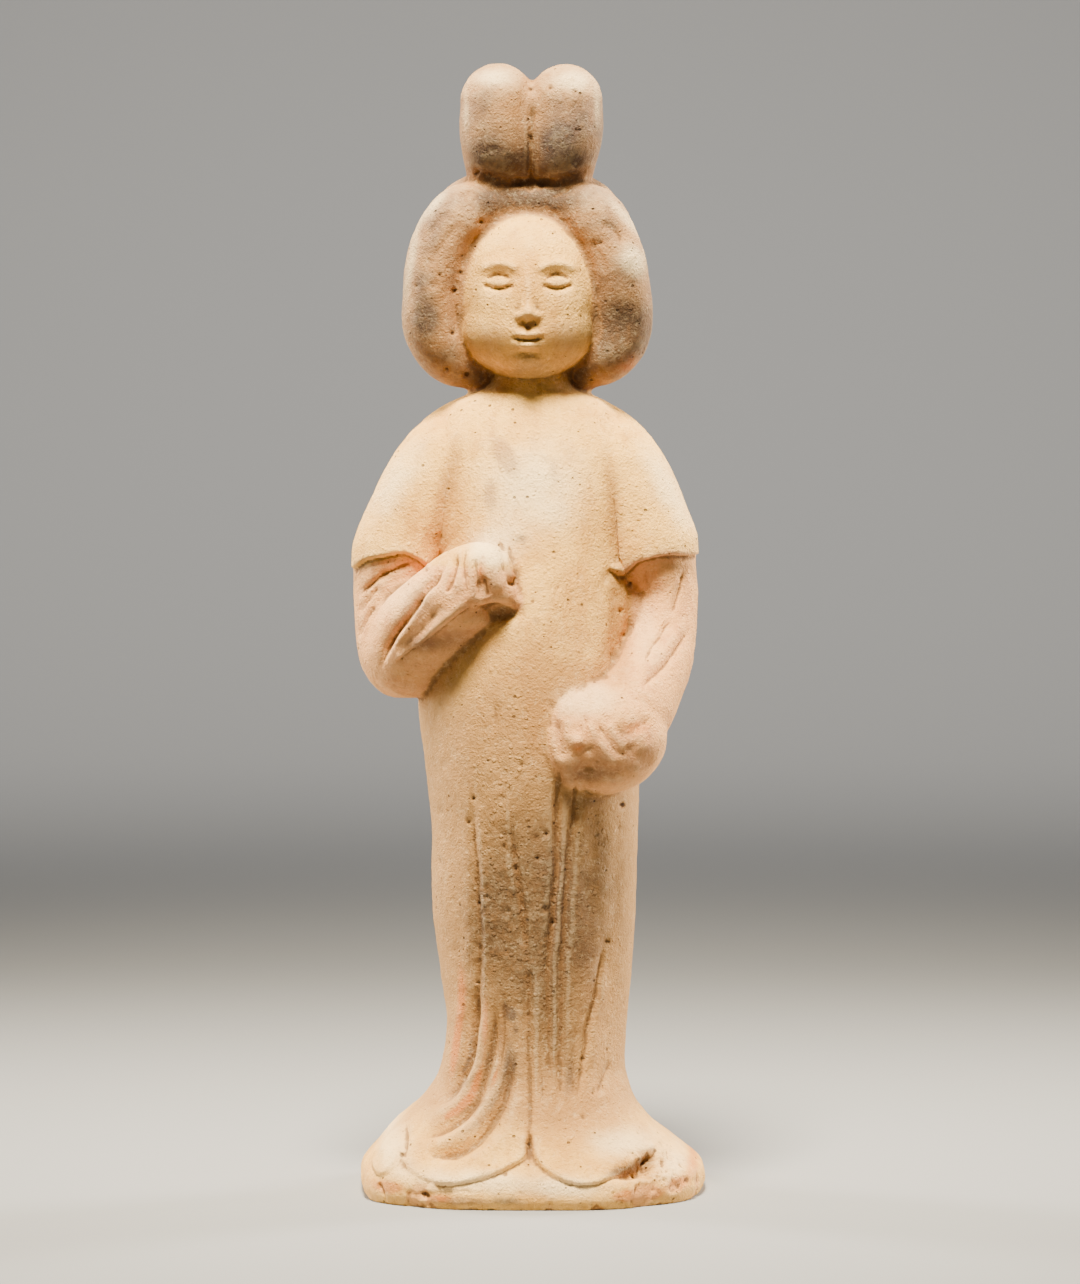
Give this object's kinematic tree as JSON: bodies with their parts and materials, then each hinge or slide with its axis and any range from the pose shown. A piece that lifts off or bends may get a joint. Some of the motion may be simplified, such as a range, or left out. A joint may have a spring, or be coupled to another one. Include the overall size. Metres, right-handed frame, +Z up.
{
  "type": "terracotta court lady figure",
  "caption": "Standing terracotta figure of a court lady in a long robe, one sleeve raised and one lowered, with a two-lobed hair knot; stands on its own base.",
  "frame": {"origin": "on the floor under the middle of her outline", "axes": "+Z up from the base to the hair knot; she faces -Y; +X is the viewer's right when her face is seen"},
  "size_m": [0.1262, 0.1004, 0.4],
  "materials": {
    "terracotta": "low-fired unglazed clay with a worn pale slip and traces of cold paint"
  },
  "bodies": {
    "root": {"court_lady": "terracotta"}
  },
  "joints": []
}
